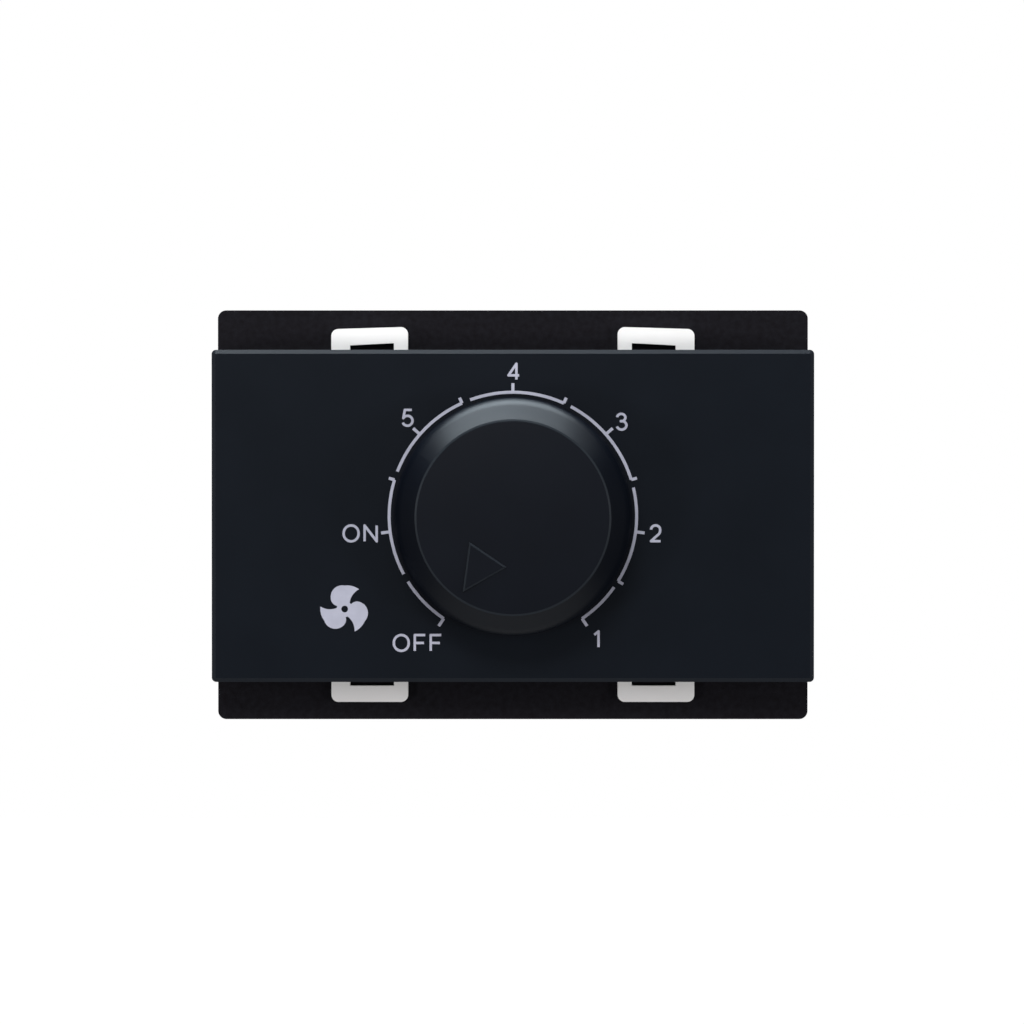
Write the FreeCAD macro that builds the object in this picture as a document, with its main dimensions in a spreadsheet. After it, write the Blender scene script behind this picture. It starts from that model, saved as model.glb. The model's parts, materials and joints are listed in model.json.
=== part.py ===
import FreeCAD, Part
import math
import os
import re
import Sketcher

# A three-module fan speed control for a wall plate.
# +X runs to the right and +Z up. The face looks to -Y, and +Y runs into the wall.
# The origin is on the shaft axis, in the plane of the flange's back.
# Forward means towards -Y. The pieces that turn are drawn at 12 o'clock and then turned back to OFF.
# SAME is the largest difference that still counts as none.

# Driving sizes in millimetres, angles in degrees
SIZES = {
    "flange_width": 67.5,
    "flange_height": 46.8,
    "flange_thickness": 2.0,
    "flange_corner": 0.95,
    "flange_side": 2.75,
    "flange_band": 4.4,
    "cover_overhang": 0.25,
    "cover_margin": 4.65,
    "cover_depth": 9.0,
    "cover_skirt": 1.5,
    "cover_face": 1.8,
    "cover_corner": 0.5,
    "cover_edge": 0.45,
    "cover_hole_gap": 1.0,
    "housing_wall": 1.6,
    "housing_back": 1.8,
    "housing_corner": 2.0,
    "panel_thickness": 2.0,
    "panel_play": 0.2,
    "hook_offset": 20.0,
    "hook_width": 8.0,
    "hook_rise": 1.2,
    "hook_length": 5.0,
    "carrier_thickness": 1.6,
    "carrier_fit": 0.15,
    "loop_offset": 16.35,
    "loop_width": 8.75,
    "loop_outer_leg": 2.13,
    "loop_inner_leg": 1.6,
    "loop_band": 1.85,
    "loop_reach": 2.6,
    "loop_slope": 0.13,
    "loop_corner": 0.8,
    "loop_fit": 0.15,
    "post_radius": 3.4,
    "post_sink": 0.2,
    "boss_radius": 2.8,
    "boss_gap": 0.25,
    "boss_rib": 1.2,
    "screw_radius": 1.45,
    "screw_fit": 0.1,
    "screw_grip": 5.0,
    "screw_head_radius": 2.6,
    "screw_head_height": 1.9,
    "screw_slot": 0.7,
    "counterbore_depth": 2.3,
    "counterbore_fit": 0.2,
    "knob_margin": 5.15,
    "knob_lip": 1.0,
    "knob_step": 0.2,
    "knob_depth": 12.0,
    "knob_gap": 1.0,
    "knob_side": 0.28,
    "knob_shoulder_width": 0.65,
    "knob_shoulder_depth": 2.45,
    "knob_bulge": 0.145,
    "knob_bevel_width": 1.67,
    "knob_bevel_depth": 3.1,
    "knob_dome": 0.3,
    "knob_dome_flat": 1.0,
    "knob_crease": 0.15,
    "knob_wall": 1.6,
    "knob_face": 2.2,
    "knob_rib": 1.2,
    "knob_ribs": 4,
    "knob_hub_radius": 4.6,
    "knob_hub_inset": 0.3,
    "knob_bore_fit": 0.03,
    "knob_bore_end": 0.4,
    "pointer_length": 5.0,
    "pointer_inset": 0.9,
    "pointer_width": 5.0,
    "pointer_rise": 0.25,
    "pointer_edge": 0.2,
    "off_angle": 146.0,
    "shaft_radius": 3.0,
    "shaft_fit": 0.05,
    "shaft_flat": 1.5,
    "shaft_chamfer": 0.4,
    "shaft_grip": 8.8,
    "tail_radius": 2.2,
    "tang_radius": 1.6,
    "press_gap": 0.02,
    "clip_groove": 0.6,
    "clip_thickness": 0.5,
    "clip_radius": 4.4,
    "clip_play": 0.1,
    "clip_mouth": 3.4,
    "bush_radius": 3.5,
    "bush_length": 6.2,
    "bush_plate": 1.2,
    "bush_hole_fit": 0.1,
    "peg_radius": 0.8,
    "peg_length": 1.3,
    "peg_inset": 2.0,
    "washer_radius": 5.4,
    "washer_thickness": 0.5,
    "nut_flats": 10.0,
    "nut_thickness": 2.0,
    "thread_gap": 0.05,
    "can_radius": 8.4,
    "can_wall": 0.4,
    "can_depth": 6.0,
    "wafer_fit": 0.1,
    "wafer_thickness": 1.2,
    "tongue_width": 12.4,
    "tongue_step": 2.2,
    "track_inset": 2.8,
    "track_width": 1.8,
    "track_thickness": 0.1,
    "track_span": 284.0,
    "rotor_gap": 1.0,
    "rotor_thickness": 2.4,
    "rotor_play": 0.2,
    "wiper_thickness": 0.25,
    "wiper_width": 2.4,
    "wiper_root": 3.0,
    "wiper_foot": 0.4,
    "wiper_gap": 0.08,
    "terminal_pitch": 5.0,
    "terminal_width": 1.2,
    "terminal_sheet": 0.4,
    "terminal_grip": 1.8,
    "terminal_reach": 0.8,
    "cup_radius": 7.4,
    "cup_wall": 0.8,
    "cup_front": 0.8,
    "cup_depth": 6.0,
    "cup_lid": 1.2,
    "tang_play": 0.4,
    "cam_play": 0.4,
    "cam_thickness": 2.0,
    "cam_radius": 3.2,
    "cam_lobe": 4.4,
    "cam_lobe_radius": 0.9,
    "leaf_gap": 0.12,
    "leaf_thickness": 0.25,
    "leaf_half": 4.4,
    "leaf_width": 1.8,
    "contact_offset": 3.9,
    "contact_radius": 0.5,
    "contact_height": 0.3,
    "contact_open": 0.4,
    "contact_bar": 0.7,
    "lid_to_board": 1.2,
    "board_thickness": 1.6,
    "board_fit": 0.5,
    "board_notch": 0.4,
    "lead_size": 0.6,
    "lead_fit": 0.1,
    "lead_tail": 0.8,
    "lead_reach": 0.75,
    "board_screw_radius": 1.1,
    "board_screw_head": 2.2,
    "board_screw_head_height": 1.4,
    "board_screw_length": 7.0,
    "standoff_radius": 2.3,
    "standoff_left": 11.9,
    "standoff_top": 2.5,
    "standoff_right": 3.9,
    "standoff_rise": 8.5,
    "sink_gap": 1.9,
    "sink_thickness": 1.5,
    "sink_width": 13.5,
    "sink_below": 0.6,
    "sink_clear": 0.8,
    "sink_height": 14.0,
    "triac_inset": 8.0,
    "triac_width": 7.8,
    "triac_height": 10.8,
    "triac_thickness": 2.7,
    "triac_hole_inset": 3.75,
    "triac_hole_drop": 4.4,
    "triac_pitch": 2.29,
    "triac_lead_reach": 2.4,
    "sink_screw_radius": 1.45,
    "sink_screw_head": 2.75,
    "sink_screw_head_height": 2.0,
    "sink_nut_flats": 5.5,
    "sink_nut_thickness": 2.4,
    "choke_inset": 8.5,
    "choke_drop": 7.8,
    "core_outer": 4.8,
    "core_inner": 2.4,
    "core_thickness": 5.0,
    "winding_wire": 0.7,
    "winding_span": 320.0,
    "x_cap_inset": 10.8,
    "x_cap_drop": 4.8,
    "x_cap_length": 10.0,
    "x_cap_width": 4.0,
    "x_cap_height": 9.0,
    "x_cap_pitch": 7.5,
    "small_cap_length": 7.2,
    "small_cap_width": 2.5,
    "small_cap_height": 6.5,
    "small_cap_pitch": 5.0,
    "timing_gap": 0.7,
    "edge_row": 1.9,
    "resistor_row": 4.6,
    "resistor_radius": 1.1,
    "resistor_length": 6.0,
    "resistor_offset": 5.4,
    "diac_radius": 0.9,
    "diac_length": 4.0,
    "fuse_radius": 1.2,
    "fuse_length": 6.4,
    "fuse_gap": 0.45,
    "fuse_row": 2.5,
    "block_width": 16.0,
    "block_height": 10.0,
    "block_depth": 8.8,
    "block_fit": 0.2,
    "block_wall": 1.8,
    "block_floor": 1.0,
    "cage_pitch": 7.5,
    "cage_width": 5.8,
    "cage_depth": 6.2,
    "cage_length": 5.2,
    "cage_wall": 0.65,
    "cage_fit": 0.1,
    "cage_leg": 2.2,
    "wire_radius": 1.75,
    "clamp_screw_radius": 1.5,
    "clamp_screw_head": 2.05,
    "clamp_screw_head_height": 1.3,
    "clamp_screw_clear": 0.2,
    "print_thickness": 0.05,
    "dial_gap": 0.36,
    "dial_line": 0.34,
    "dial_step": 48.67,
    "tick_length": 0.85,
    "end_tick_length": 0.5,
    "letter_height": 2.07,
    "letter_stroke": 0.28,
    "sign_side": 15.02,
    "sign_bottom": 8.25,
    "sign_radius": 2.76,
    "sign_hub": 0.9,
    "sign_hole": 0.38,
}

# Values that follow from the driving sizes. Those along Y run from the front to the back.
PLACES = {
    "cover_half_width": "flange_width / 2 + cover_overhang",
    "cover_half_height": "flange_height / 2 - cover_margin",
    "skirt_half_width": "cover_half_width - cover_skirt",
    "skirt_half_height": "cover_half_height - cover_skirt",
    "housing_half_width": "flange_width / 2 - flange_side",
    "housing_half_height": "flange_height / 2 - flange_band",
    "room_half_width": "housing_half_width - housing_wall",
    "room_half_height": "housing_half_height - housing_wall",
    "post_across": "min(room_half_width - post_radius + post_sink; skirt_half_width - boss_radius)",
    "post_up": "min(room_half_height - post_radius + post_sink; skirt_half_height - boss_radius - boss_gap)",
    "flange_front": "-flange_thickness",
    "cover_front": "flange_front - cover_depth",
    "cover_inside": "cover_front + cover_face",
    "carrier_front": "flange_front - carrier_thickness",
    "loop_end": "cover_half_height + loop_reach",
    "loop_outer": "loop_offset + loop_width / 2",
    "loop_inner": "loop_offset - loop_width / 2",
    "knob_radius": "cover_half_height - knob_margin",
    "knob_shoulder_radius": "knob_radius - knob_step - knob_side",
    "knob_bevel_radius": "knob_shoulder_radius - knob_shoulder_width",
    "knob_face_radius": "knob_bevel_radius - knob_bevel_width",
    "pointer_tip": "knob_face_radius - pointer_inset",
    "pointer_base": "pointer_tip - pointer_length",
    "knob_base": "cover_front - knob_gap",
    "knob_front": "knob_base - knob_depth",
    "knob_bevel": "knob_front + knob_bevel_depth",
    "knob_shoulder": "knob_bevel + knob_shoulder_depth",
    "knob_room": "knob_front + knob_face",
    "hub_rear": "knob_base - knob_hub_inset",
    "washer_front": "carrier_front - washer_thickness",
    "nut_front": "washer_front - nut_thickness",
    "bush_front": "flange_front - bush_length",
    "clip_front": "bush_front - clip_play - clip_thickness",
    "shaft_front": "knob_base - shaft_grip",
    "peg_offset": "can_radius - peg_inset",
    "tongue_reach": "can_radius + tongue_step",
    "track_radius": "can_radius - track_inset",
    "rotor_radius": "can_radius - can_wall - rotor_gap",
    "can_front": "flange_front + bush_plate",
    "can_rear": "can_front + can_depth",
    "wafer_rear": "can_rear - can_wall",
    "wafer_front": "wafer_rear - wafer_thickness",
    "wafer_radius": "can_radius - can_wall - wafer_fit",
    "track_front": "wafer_front - track_thickness",
    "rotor_front": "can_front + rotor_play",
    "rotor_rear": "rotor_front + rotor_thickness",
    "cup_room": "can_rear + cup_front",
    "cup_rear": "can_rear + cup_depth",
    "lid_rear": "cup_rear + cup_lid",
    "cam_front": "cup_room + cam_play",
    "cam_rear": "cam_front + cam_thickness",
    "leaf_up": "cam_lobe + leaf_gap",
    "post_bar_up": "leaf_up - contact_height - contact_open - contact_bar",
    "board_front": "lid_rear + lid_to_board",
    "board_rear": "board_front + board_thickness",
    "board_half_width": "room_half_width - board_fit",
    "board_half_height": "room_half_height - board_fit",
    "lead_end": "board_rear + lead_tail",
    "screw_left": "-board_half_width + standoff_left",
    "screw_top": "board_half_height - standoff_top",
    "screw_right": "board_half_width - standoff_right",
    "screw_low": "standoff_rise - board_half_height",
    "sink_front": "board_front - sink_thickness",
    "sink_right": "room_half_width - sink_gap",
    "sink_left": "sink_right - sink_width",
    "sink_top": "post_up - post_radius - sink_clear",
    "triac_across": "sink_right - triac_inset",
    "triac_hole_up": "sink_top - triac_hole_drop",
    "triac_low": "triac_hole_up + triac_hole_inset - triac_height",
    "sink_low": "triac_low - sink_below",
    "triac_lead_front": "sink_front - triac_thickness / 2",
    "choke_across": "-room_half_width + choke_inset",
    "choke_height": "post_up - choke_drop",
    "core_rear": "board_front - winding_wire",
    "core_front": "core_rear - core_thickness",
    "winding_outer": "core_outer + winding_wire",
    "winding_inner": "core_inner - winding_wire",
    "x_cap_across": "-room_half_width + x_cap_inset",
    "x_cap_low": "post_up - x_cap_drop",
    "edge_up": "board_half_height - edge_row",
    "resistor_up": "board_half_height - resistor_row",
    "fuse_up": "-board_half_height + fuse_row",
    "fuse_across": "block_width / 2 + fuse_gap + fuse_length / 2 + lead_reach",
    "timing_across": "block_width / 2 + timing_gap + small_cap_pitch / 2",
    "block_low": "-room_half_height + block_fit",
    "block_rear": "board_rear + block_depth",
    "cage_front": "board_rear + block_floor",
    "cage_rear": "cage_front + cage_depth",
    "cage_low": "block_low + block_wall",
    "cage_leg_up": "cage_low + cage_leg",
    "wire_axis": "cage_front + cage_wall + wire_radius",
    "clamp_screw_front": "wire_axis + wire_radius + clamp_screw_clear",
    "clamp_head_front": "cage_rear + clamp_screw_clear",
    "housing_floor": "block_rear + block_fit",
    "housing_rear": "housing_floor + housing_back",
    "counterbore_front": "housing_rear - counterbore_depth",
    "dial_radius": "knob_radius + dial_gap",
    "sign_across": "sign_side - cover_half_width",
    "sign_up": "sign_bottom - cover_half_height",
}

ALIAS = re.compile(r"[a-z][a-z_]*")
X_AXIS = FreeCAD.Vector(1, 0, 0)
Y_AXIS = FreeCAD.Vector(0, 1, 0)
BACKWARD = FreeCAD.Rotation(X_AXIS, -90)
RIGHTWARD = FreeCAD.Rotation(Y_AXIS, 90)
UPWARD = FreeCAD.Rotation()
CORNERS = (("", ""), ("-", ""), ("", "-"), ("-", "-"))
SAME = 1e-6
BOARD_SCREWS = (("screw_left", "screw_top"), ("screw_right", "screw_low"))

doc = FreeCAD.newDocument("fan_speed_control")
sizes = doc.addObject("Spreadsheet::Sheet", "sizes")
places = doc.addObject("Spreadsheet::Sheet", "places")
nodes = []


# The sheets and the expressions that read them

def formula(text, inside_places=False):
    """text with the sheet's name put before each alias."""
    def owned(match):
        word = match.group(0)
        if word in SIZES:
            return "sizes." + word
        if word in PLACES and not inside_places:
            return "places." + word
        return word
    return ALIAS.sub(owned, text)


def fill_sheets():
    for row, (alias, size) in enumerate(SIZES.items(), 1):
        sizes.set(f"A{row}", alias)
        sizes.set(f"B{row}", str(size))
        sizes.setAlias(f"B{row}", alias)
    doc.recompute()
    for row, (alias, text) in enumerate(PLACES.items(), 1):
        places.set(f"A{row}", alias)
        places.set(f"B{row}", "=" + formula(text, inside_places=True))
        places.setAlias(f"B{row}", alias)
    doc.recompute()


def value(text):
    return float(places.evalExpression(formula(text)))


def bind(thing, name, text):
    thing.setExpression(name, formula(text))


# Sketches, pads and pockets

def new_body(name):
    return doc.addObject("PartDesign::Body", name + "_body")


def sketch_on(body, role, level):
    """A sketch on one of the body's own planes, lifted along the plane's normal."""
    sketch = body.newObject("Sketcher::SketchObject", body.Name + "_sketch")
    plane = next(item for item in body.Origin.OriginFeatures if item.Role == role)
    sketch.AttachmentSupport = [(plane, "")]
    sketch.MapMode = "FlatFace"
    bind(sketch, "AttachmentOffset.Base.z", level)
    return sketch


def front_sketch(body, depth):
    """A sketch that faces forward, at this place along Y."""
    return sketch_on(body, "XZ_Plane", f"-({depth})")


def constrain(sketch, kind, text, *where):
    number = sketch.addConstraint(Sketcher.Constraint(kind, *where, value(text)))
    bind(sketch, f"Constraints[{number}]", text)


def fix_point(sketch, index, end, across, up):
    constrain(sketch, "DistanceX", across, -1, 1, index, end)
    constrain(sketch, "DistanceY", up, -1, 1, index, end)


def add_side(sketch, start, end, bulge):
    """A straight side, or an arc that bulges to the right of its run. Gives its index and both ends."""
    first = FreeCAD.Vector(value(start[0]), value(start[1]), 0)
    last = FreeCAD.Vector(value(end[0]), value(end[1]), 0)
    if not bulge:
        return sketch.addGeometry(Part.LineSegment(first, last), False), 1, 2
    arc = Part.Arc(first, middle_of_bow(first, last, value(bulge)), last).toShape().Curve
    middle = arc.Center
    forward = value(bulge) > 0
    around = (first, last) if forward else (last, first)
    angles = [math.atan2(point.y - middle.y, point.x - middle.x) for point in around]
    if angles[1] < angles[0]:
        angles[1] += 2 * math.pi
    turn = Part.Circle(middle, FreeCAD.Vector(0, 0, 1), arc.Radius)
    index = sketch.addGeometry(Part.ArcOfCircle(turn, *angles), False)
    chord_squared = f"(({end[0]}) - ({start[0]}))^2 + (({end[1]}) - ({start[1]}))^2"
    constrain(sketch, "Radius", f"({chord_squared}) / (8 * abs({bulge})) + abs({bulge}) / 2", index)
    return (index, 1, 2) if forward else (index, 2, 1)


def middle_of_bow(first, last, bulge):
    run = last - first
    right = FreeCAD.Vector(run.y, -run.x, 0).normalize()
    return (first + last) * 0.5 + right * bulge


def outline(sketch, points):
    """A closed outline. A point with a third entry starts an arc with that bulge."""
    sides = []
    for number, point in enumerate(points):
        following = points[(number + 1) % len(points)]
        bulge = point[2] if len(point) > 2 else None
        sides.append(add_side(sketch, point, following, bulge))
    for number, point in enumerate(points):
        index, start, _ = sides[number]
        before, _, end = sides[number - 1]
        sketch.addConstraint(Sketcher.Constraint("Coincident", before, end, index, start))
        fix_point(sketch, index, start, point[0], point[1])


def rectangle(sketch, left, low, right, high):
    outline(sketch, [(left, low), (right, low), (right, high), (left, high)])


def centred_rectangle(sketch, half_width, half_height):
    rectangle(sketch, f"-{half_width}", f"-{half_height}", half_width, half_height)


def circle(sketch, across, up, radius):
    centre = FreeCAD.Vector(value(across), value(up), 0)
    index = sketch.addGeometry(Part.Circle(centre, FreeCAD.Vector(0, 0, 1), value(radius)), False)
    constrain(sketch, "Radius", radius, index)
    fix_point(sketch, index, 3, across, up)


def d_outline(sketch, radius, flat):
    """A round outline with one flat at this height."""
    half = math.acos(value(flat) / value(radius))
    centre = FreeCAD.Vector()
    normal = FreeCAD.Vector(0, 0, 1)
    ends = (math.pi / 2 + half, math.pi / 2 - half + 2 * math.pi)
    arc = Part.ArcOfCircle(Part.Circle(centre, normal, value(radius)), *ends)
    round_side = sketch.addGeometry(arc, False)
    flat_side = sketch.addGeometry(Part.LineSegment(arc.EndPoint, arc.StartPoint), False)
    sketch.addConstraint(Sketcher.Constraint("Coincident", round_side, 2, flat_side, 1))
    sketch.addConstraint(Sketcher.Constraint("Coincident", flat_side, 2, round_side, 1))
    sketch.addConstraint(Sketcher.Constraint("Coincident", round_side, 3, -1, 1))
    sketch.addConstraint(Sketcher.Constraint("Horizontal", flat_side))
    constrain(sketch, "Radius", radius, round_side)
    constrain(sketch, "DistanceY", flat, -1, 1, flat_side, 1)


def pad(body, sketch, length, reverse=False, both_ways=False):
    feature = body.newObject("PartDesign::Pad", body.Name + "_pad")
    feature.Profile = sketch
    bind(feature, "Length", length)
    feature.Reversed = reverse
    feature.Midplane = both_ways
    return feature


def pocket(body, sketch, length, forward=True):
    feature = body.newObject("PartDesign::Pocket", body.Name + "_pocket")
    feature.Profile = sketch
    bind(feature, "Length", length)
    feature.Reversed = forward
    return feature


def revolve(body, sketch, kind="Revolution", span="360"):
    feature = body.newObject("PartDesign::" + kind, body.Name + "_turned")
    feature.Profile = sketch
    feature.ReferenceAxis = (sketch, ["V_Axis"])
    bind(feature, "Angle", span)
    return feature


def soften(body, size, chosen, kind="Fillet"):
    """Rounds or bevels the edges of the last feature that chosen accepts."""
    doc.recompute()
    base = body.Tip
    names = [f"Edge{number}" for number, edge in enumerate(base.Shape.Edges, 1) if chosen(edge)]
    feature = body.newObject("PartDesign::" + kind, body.Name + "_soft")
    feature.Base = (base, names)
    bind(feature, "Radius" if kind == "Fillet" else "Size", size)


def runs_along_y(edge):
    box = edge.BoundBox
    return box.XLength < SAME and box.ZLength < SAME


def lies_at(depth):
    level = value(depth)
    return lambda edge: abs(edge.BoundBox.YMin - level) < SAME and edge.BoundBox.YLength < SAME


# Plain blocks, rods and their joins

def stand(thing, across, depth, up, turn=UPWARD):
    thing.Placement = FreeCAD.Placement(FreeCAD.Vector(), turn)
    bind(thing, "Placement.Base.x", across)
    bind(thing, "Placement.Base.y", depth)
    bind(thing, "Placement.Base.z", up)
    return thing


def block(name, across, depth, up, length, width, height):
    """A box from its low corner."""
    thing = doc.addObject("Part::Box", name)
    bind(thing, "Length", length)
    bind(thing, "Width", width)
    bind(thing, "Height", height)
    return stand(thing, across, depth, up)


def rod(name, radius, length, across, depth, up, turn=BACKWARD):
    """A cylinder from the centre of its first end."""
    thing = doc.addObject("Part::Cylinder", name)
    bind(thing, "Radius", radius)
    bind(thing, "Height", length)
    return stand(thing, across, depth, up, turn)


def hexagon(name, flats, length, across, depth, up):
    thing = doc.addObject("Part::Prism", name)
    thing.Polygon = 6
    bind(thing, "Circumradius", f"{flats} / sqrt(3)")
    bind(thing, "Height", length)
    return stand(thing, across, depth, up, BACKWARD)


def join(name, *parts):
    thing = doc.addObject("Part::MultiFuse", name)
    thing.Shapes = list(parts)
    return thing


def group(name, *parts):
    """Separate solids kept side by side."""
    thing = doc.addObject("Part::Compound", name)
    thing.Links = list(parts)
    return thing


def cut(name, base, *tools):
    thing = doc.addObject("Part::Cut", name)
    thing.Base = base
    thing.Tool = tools[0] if len(tools) == 1 else join(name + "_tools", *tools)
    return thing


def turn_to_off(thing):
    """Turns what was drawn at 12 o'clock back to the OFF mark, seen from the front."""
    thing.Placement = FreeCAD.Placement(FreeCAD.Vector(), FreeCAD.Rotation(-Y_AXIS, 1))
    bind(thing, "Placement.Rotation.Angle", "off_angle")
    return thing


def node(thing, name):
    thing.Label = name
    nodes.append(thing)


def slotted_screw(name, head, head_height, radius, head_front, front, rear, across, up):
    """A screw along Y, its head at head_front and its shank from front to rear."""
    shank = rod(name + "_shank", radius, f"({rear}) - ({front})", across, front, up)
    top = rod(name + "_head", head, head_height, across, head_front, up)
    return join(name + "_blank", shank, top)


# The mouldings that show

def front_cover():
    body = new_body("front_cover")
    plan = front_sketch(body, "flange_front")
    centred_rectangle(plan, "cover_half_width", "cover_half_height")
    pad(body, plan, "cover_depth")
    soften(body, "cover_corner", runs_along_y)
    soften(body, "cover_edge", lies_at("cover_front"), "Chamfer")
    room = front_sketch(body, "flange_front")
    centred_rectangle(room, "skirt_half_width", "skirt_half_height")
    pocket(body, room, "cover_depth - cover_face")
    ribs = front_sketch(body, "carrier_front")
    bosses = front_sketch(body, "carrier_front")
    holes = front_sketch(body, "carrier_front")
    for side, sign in CORNERS:
        up = f"{sign}post_up"
        wall = f"{side}(skirt_half_width + cover_skirt / 2)"
        rectangle(ribs, f"{side}post_across", f"{up} - boss_rib / 2", wall, f"{up} + boss_rib / 2")
        circle(bosses, f"{side}post_across", up, "boss_radius")
        circle(holes, f"{side}post_across", up, "screw_radius + thread_gap")
    pad(body, ribs, "carrier_front - cover_inside")
    pad(body, bosses, "carrier_front - cover_inside")
    pocket(body, holes, "screw_grip + screw_fit")
    shaft_hole = front_sketch(body, "cover_inside")
    circle(shaft_hole, "0", "0", "shaft_radius + cover_hole_gap")
    pocket(body, shaft_hole, "2 * cover_face")
    notches = front_sketch(body, "flange_front")
    for side, sign in CORNERS:
        left = f"{side}(loop_outer + loop_fit)"
        right = f"{side}(loop_inner - loop_fit)"
        inside = f"{sign}(skirt_half_height - cover_skirt / 2)"
        outside = f"{sign}(cover_half_height + cover_skirt / 2)"
        rectangle(notches, left, inside, right, outside)
    pocket(body, notches, "carrier_thickness + loop_fit")
    node(body, "front_cover")


def carrier_frame():
    body = new_body("carrier_frame")
    plan = front_sketch(body, "flange_front")
    centred_rectangle(plan, "(skirt_half_width - carrier_fit)", "(skirt_half_height - carrier_fit)")
    pad(body, plan, "carrier_thickness")
    loops = front_sketch(body, "flange_front")
    windows = front_sketch(body, "flange_front")
    for side, sign in CORNERS:
        slope = "0" if sign else "loop_slope"
        root = f"{sign}(skirt_half_height - cover_skirt)"
        edge = f"{sign}(skirt_half_height - carrier_fit)"
        outer_end = f"{sign}(loop_end - {slope})"
        inner_end = f"{sign}(loop_end + {slope})"
        corners = [
            (f"{side}loop_outer", root),
            (f"{side}loop_inner", root),
            (f"{side}loop_inner", inner_end),
            (f"{side}loop_outer", outer_end),
        ]
        outline(loops, corners)
        left = f"{side}(loop_outer - loop_outer_leg)"
        right = f"{side}(loop_inner + loop_inner_leg)"
        inner_window = f"{sign}(loop_end + {slope} - loop_band)"
        outer_window = f"{sign}(loop_end - {slope} - loop_band)"
        outline(windows, [(left, edge), (right, edge), (right, inner_window), (left, outer_window)])
    pad(body, loops, "carrier_thickness")
    pocket(body, windows, "2 * carrier_thickness")
    holes = front_sketch(body, "flange_front")
    circle(holes, "0", "0", "bush_radius + bush_hole_fit")
    circle(holes, "0", "peg_offset", "peg_radius + bush_hole_fit")
    for side, sign in CORNERS:
        circle(holes, f"{side}post_across", f"{sign}post_up", "screw_radius + screw_fit")
    pocket(body, holes, "2 * carrier_thickness")
    end = value("loop_end - loop_band / 2")

    def is_loop_corner(edge):
        return runs_along_y(edge) and abs(edge.BoundBox.ZMin) > end

    soften(body, "loop_corner", is_loop_corner)
    node(body, "carrier_frame")


def rear_housing():
    body = new_body("rear_housing")
    flange = front_sketch(body, "0")
    centred_rectangle(flange, "flange_width / 2", "flange_height / 2")
    pad(body, flange, "flange_thickness")
    soften(body, "flange_corner", runs_along_y)
    box = front_sketch(body, "0")
    centred_rectangle(box, "housing_half_width", "housing_half_height")
    pad(body, box, "housing_rear", reverse=True)
    side = value("housing_half_width")

    def is_box_corner(edge):
        return runs_along_y(edge) and abs(abs(edge.BoundBox.XMin) - side) < SAME

    soften(body, "housing_corner", is_box_corner)
    room = front_sketch(body, "flange_front")
    centred_rectangle(room, "room_half_width", "room_half_height")
    pocket(body, room, "housing_floor - flange_front", forward=False)
    posts = front_sketch(body, "flange_front")
    screw_holes = front_sketch(body, "flange_front")
    counterbores = front_sketch(body, "housing_rear")
    for side, sign in CORNERS:
        circle(posts, f"{side}post_across", f"{sign}post_up", "post_radius")
        circle(screw_holes, f"{side}post_across", f"{sign}post_up", "screw_radius + screw_fit")
        circle(counterbores, f"{side}post_across", f"{sign}post_up", "screw_head_radius + counterbore_fit")
    pad(body, posts, "housing_floor - flange_front", reverse=True)
    pocket(body, screw_holes, "housing_rear - flange_front", forward=False)
    pocket(body, counterbores, "counterbore_depth")
    standoffs = front_sketch(body, "board_rear")
    standoff_holes = front_sketch(body, "board_rear")
    for across, up in BOARD_SCREWS:
        circle(standoffs, across, up, "standoff_radius")
        circle(standoff_holes, across, up, "board_screw_radius + thread_gap")
    pad(body, standoffs, "housing_floor - board_rear", reverse=True)
    pocket(body, standoff_holes, "board_screw_length", forward=False)
    wire_holes = sketch_on(body, "XY_Plane", "-housing_half_height")
    driver_holes = front_sketch(body, "housing_rear")
    for side in ("", "-"):
        circle(wire_holes, f"{side}cage_pitch / 2", "wire_axis", "wire_radius")
        circle(driver_holes, f"{side}cage_pitch / 2", "cage_leg_up", "clamp_screw_head + screw_fit")
    pocket(body, wire_holes, "housing_wall + block_fit")
    pocket(body, driver_holes, "housing_back + block_fit")
    start = "(panel_thickness + panel_play)"
    for side, sign in CORNERS:
        hook = sketch_on(body, "YZ_Plane", f"{side}hook_offset")
        root = f"{sign}(housing_half_height - housing_wall / 2)"
        wall = f"{sign}housing_half_height"
        crest = f"{sign}(housing_half_height + hook_rise)"
        outline(hook, [(start, root), (start, crest), (f"{start} + hook_length", wall),
                       (f"{start} + hook_length", root)])
        pad(body, hook, "hook_width", both_ways=True)
    node(body, "rear_housing")


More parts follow.
